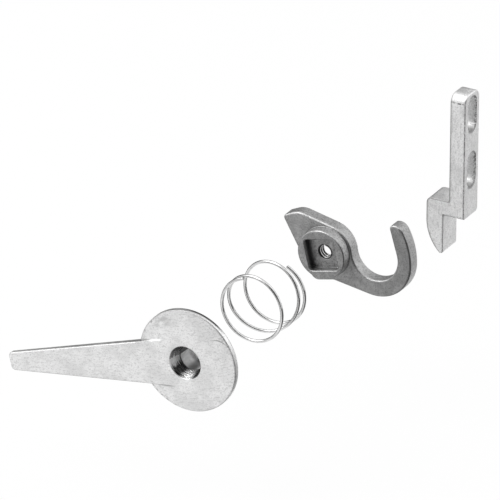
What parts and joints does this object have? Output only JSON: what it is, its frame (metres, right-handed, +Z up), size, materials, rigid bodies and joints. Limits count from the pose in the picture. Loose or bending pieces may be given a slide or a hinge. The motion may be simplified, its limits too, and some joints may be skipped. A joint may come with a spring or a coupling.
{
  "type": "screen door lock",
  "caption": "Screen door lock laid out along its pivot: disc lever with square shank, coil spring, J hook with square recess and threaded hole, and slotted jamb keeper.",
  "frame": {"origin": "on the pivot axis, at the seat in the lever's counterbore where the pivot screw's head clamps", "axes": "+X across the door towards the jamb, +Y through the door from front to back along the pivot, +Z up"},
  "size_m": [0.1065, 0.0908, 0.0784],
  "materials": {
    "satin_zinc": "satin plated zinc casting",
    "raw_zinc": "dull dark casting, edges worn bright",
    "keeper_zinc": "satin plated zinc casting",
    "spring_wire": "bright plated spring steel"
  },
  "bodies": {
    "keeper_body": {"keeper": "keeper_zinc"},
    "lever_body": {"lever": "satin_zinc"},
    "spring_body": {"spring": "spring_wire"},
    "hook_body": {"hook": "raw_zinc"}
  },
  "joints": [
    {"name": "lever_turn", "type": "hinge", "parent": "keeper_body", "child": "lever_body", "pos_m": [0, 0, 0], "axis": [0, 1, 0], "range_deg": [0, 60]},
    {"name": "hook_draw", "type": "slide", "parent": "lever_body", "child": "hook_body", "axis": [0, -1, 0], "range_m": [0, 0.0704]},
    {"name": "spring_seat", "type": "slide", "parent": "lever_body", "child": "spring_body", "axis": [0, -1, 0], "range_m": [0, 0.03535], "deforming": ["spring"]}
  ],
  "couplings": [
    {"joint": "spring_seat", "follows": "hook_draw", "ratio": 0.5021}
  ]
}
